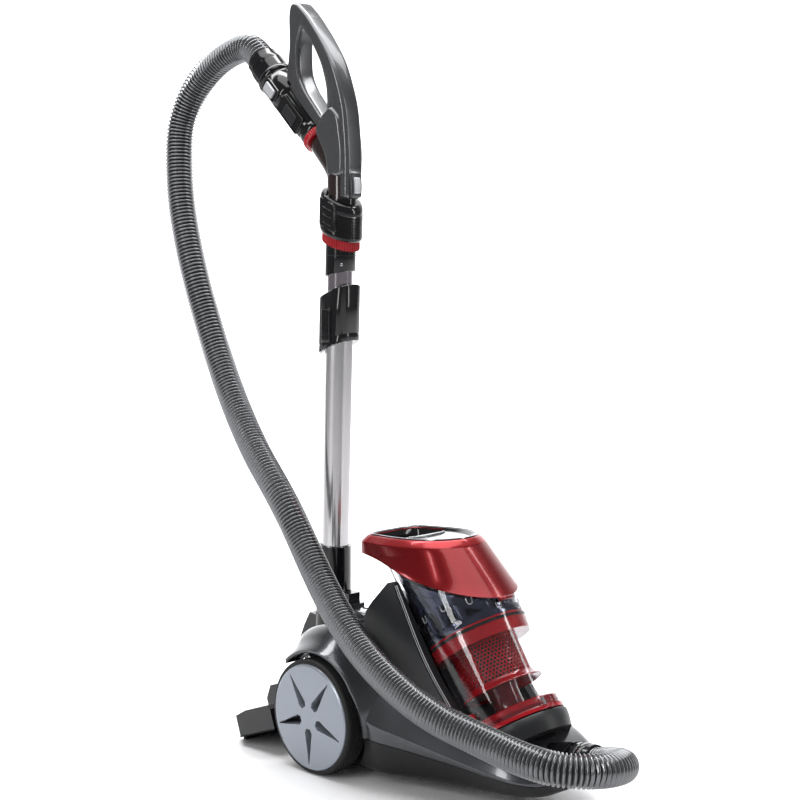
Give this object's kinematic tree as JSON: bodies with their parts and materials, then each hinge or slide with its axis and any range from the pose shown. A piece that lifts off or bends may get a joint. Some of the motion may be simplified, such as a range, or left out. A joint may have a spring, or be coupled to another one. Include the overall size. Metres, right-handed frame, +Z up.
{
  "type": "canister vacuum cleaner",
  "caption": "Upright-parked canister vacuum cleaner with a tilted clear dust bin, telescopic wand, floor head, loop handle and ribbed hose.",
  "frame": {"origin": "middle of the footprint on the floor, without the hose", "axes": "+Z up, -Y towards the hose inlet at the front, +Y towards the parked wand"},
  "size_m": [0.3036, 0.8909, 1],
  "materials": {
    "black_satin": "satin moulded plastic",
    "black_gloss": "glossy moulded plastic",
    "charcoal": "matte moulded plastic",
    "shell_grey": "metallic gloss paint",
    "steel": "plain steel",
    "seal_black": "soft seal",
    "filter_white": "pleated filter",
    "light_grey": "satin",
    "hub_grey": "satin metallic",
    "tyre_black": "soft tread",
    "clear": "clear moulded plastic",
    "red_trim": "gloss",
    "red_dark": "gloss",
    "lid_red": "metallic gloss",
    "cyclone_blue": "gloss",
    "plate_silver": "metallic",
    "tube_silver": "anodised",
    "tube_chrome": "polished",
    "bristle_red": "tufts",
    "bristle_black": "tufts",
    "pipe_brown": "gloss",
    "handle_grey": "satin metallic",
    "hose_grey": "ribbed flexible skin"
  },
  "bodies": {
    "canister": {"lower_shell": "black_satin", "body_shell": "shell_grey", "park_socket": "shell_grey", "bin_cradle": "charcoal", "motor_housing": "black_satin", "motor": "steel", "motor_mount": "seal_black", "cord_reel": "black_satin", "exhaust_filter": "filter_white", "exhaust_grille": "black_satin", "cord_inlet": "black_satin", "axle_stubs": "steel", "hose_inlet": "black_gloss", "screws": "steel", "hose": "hose_grey"},
    "wheel_left": {"hub_left": "hub_grey", "tyre_left": "tyre_black"},
    "wheel_right": {"hub_right": "hub_grey", "tyre_right": "tyre_black"},
    "caster_yoke": {"caster_fork": "black_satin", "caster_axle": "steel"},
    "caster_roller": {"caster_wheel": "tyre_black"},
    "bin": {"bin_shell": "clear", "bin_door": "red_trim", "door_gasket": "seal_black", "door_latch": "clear", "bin_stem": "red_dark", "bin_skirt": "red_dark", "bin_shroud": "red_dark", "bin_collar": "red_trim", "bin_seal": "seal_black", "cyclone_cluster": "cyclone_blue", "pre_motor_filter": "filter_white"},
    "lid": {"bin_lid": "lid_red", "lid_tray": "black_gloss"},
    "bin_button": {"lid_plate": "plate_silver"},
    "door_tab": {"door_release": "red_trim"},
    "power_button": {"power_pedal": "shell_grey"},
    "rewind_button": {"rewind_pedal": "shell_grey"},
    "inlet_catch": {"inlet_button": "light_grey"},
    "front_swivel": {"front_cuff": "black_gloss"},
    "wand_lower": {"wand_neck": "black_satin", "wand_outer_tube": "tube_silver", "wand_sleeve": "black_gloss"},
    "telescope_catch": {"sleeve_latch": "black_satin"},
    "floor_head": {"head_body": "black_satin", "head_sole": "black_satin", "head_strips": "bristle_black", "head_pin": "steel"},
    "floor_pedal": {"head_rocker": "black_gloss"},
    "wand_upper": {"wand_inner_tube": "tube_chrome", "wand_collar": "black_gloss", "dusting_brush": "black_satin", "brush_bristles": "bristle_red", "handle_pipe": "pipe_brown", "handle_grip": "handle_grey"},
    "grip_catch": {"handle_button": "black_satin"},
    "suction_collar": {"suction_ring": "red_trim"},
    "handle_swivel": {"handle_cuff": "black_gloss"},
    "cuff_catch": {"cuff_button": "light_grey"}
  },
  "joints": [
    {"name": "wheel_left_spin", "type": "hinge", "parent": "canister", "child": "wheel_left", "pos_m": [-0.12, 0.05276, 0.075], "axis": [1, 0, 0], "continuous": true},
    {"name": "wheel_right_spin", "type": "hinge", "parent": "canister", "child": "wheel_right", "pos_m": [0.12, 0.05276, 0.075], "axis": [1, 0, 0], "continuous": true},
    {"name": "caster_turn", "type": "hinge", "parent": "canister", "child": "caster_yoke", "pos_m": [0, -0.19324, 0.05], "axis": [0, 0, 1], "continuous": true},
    {"name": "caster_spin", "type": "hinge", "parent": "caster_yoke", "child": "caster_roller", "pos_m": [0, -0.18224, 0.02], "axis": [1, 0, 0], "continuous": true},
    {"name": "bin_lift", "type": "slide", "parent": "canister", "child": "bin", "axis": [0, 0, 1], "range_m": [0, 0.15]},
    {"name": "lid_hinge", "type": "hinge", "parent": "bin", "child": "lid", "pos_m": [0, -0.16344, 0.24719], "axis": [1, 0, 0], "range_deg": [0, 75]},
    {"name": "bin_button_press", "type": "slide", "parent": "lid", "child": "bin_button", "axis": [0, 0, -1], "range_m": [0, 0.0025], "stiffness_N_per_m": 500},
    {"name": "door_tab_press", "type": "slide", "parent": "bin", "child": "door_tab", "axis": [0, -0.5592, -0.829], "range_m": [0, 0.003], "stiffness_N_per_m": 300},
    {"name": "power_press", "type": "slide", "parent": "canister", "child": "power_button", "axis": [0, 0, -1], "range_m": [0, 0.004], "stiffness_N_per_m": 1500},
    {"name": "rewind_press", "type": "slide", "parent": "canister", "child": "rewind_button", "axis": [0, 0, -1], "range_m": [0, 0.004], "stiffness_N_per_m": 1500},
    {"name": "inlet_catch_press", "type": "slide", "parent": "canister", "child": "inlet_catch", "axis": [1, 0, 0], "range_m": [0, 0.0025], "stiffness_N_per_m": 300},
    {"name": "front_cuff_turn", "type": "hinge", "parent": "canister", "child": "front_swivel", "pos_m": [0, -0.28524, 0.062], "axis": [0, -0.9703, 0.2419], "continuous": true},
    {"name": "dock_lift", "type": "slide", "parent": "canister", "child": "wand_lower", "axis": [0, 0, 1], "range_m": [0, 0.08], "deforming": ["hose"]},
    {"name": "telescope_catch_press", "type": "slide", "parent": "wand_lower", "child": "telescope_catch", "axis": [0, -0.0359, 0.9994], "range_m": [0, 0.006], "stiffness_N_per_m": 300},
    {"name": "head_pitch", "type": "hinge", "parent": "wand_lower", "child": "floor_head", "pos_m": [0, 0.18376, 0.0684], "axis": [1, 0, 0], "range_deg": [-12, 20]},
    {"name": "floor_pedal_rock", "type": "hinge", "parent": "floor_head", "child": "floor_pedal", "pos_m": [0, 0.16479, 0.05722], "axis": [1, 0, 0], "range_deg": [-5, 5]},
    {"name": "telescope", "type": "slide", "parent": "wand_lower", "child": "wand_upper", "axis": [0, -0.0359, 0.9994], "range_m": [0, 0.28], "deforming": ["hose"]},
    {"name": "grip_catch_press", "type": "slide", "parent": "wand_upper", "child": "grip_catch", "axis": [0, 1, 0], "range_m": [0, 0.002], "stiffness_N_per_m": 300},
    {"name": "suction_collar_turn", "type": "hinge", "parent": "wand_upper", "child": "suction_collar", "pos_m": [0, 0.18676, 0.819], "axis": [0, 0.7392, 0.6735], "range_deg": [-40, 40]},
    {"name": "handle_cuff_turn", "type": "hinge", "parent": "wand_upper", "child": "handle_swivel", "pos_m": [0, 0.18676, 0.819], "axis": [0, 0.7392, 0.6735], "continuous": true},
    {"name": "cuff_catch_press", "type": "slide", "parent": "handle_swivel", "child": "cuff_catch", "axis": [1, 0, 0], "range_m": [0, 0.002], "stiffness_N_per_m": 300}
  ]
}
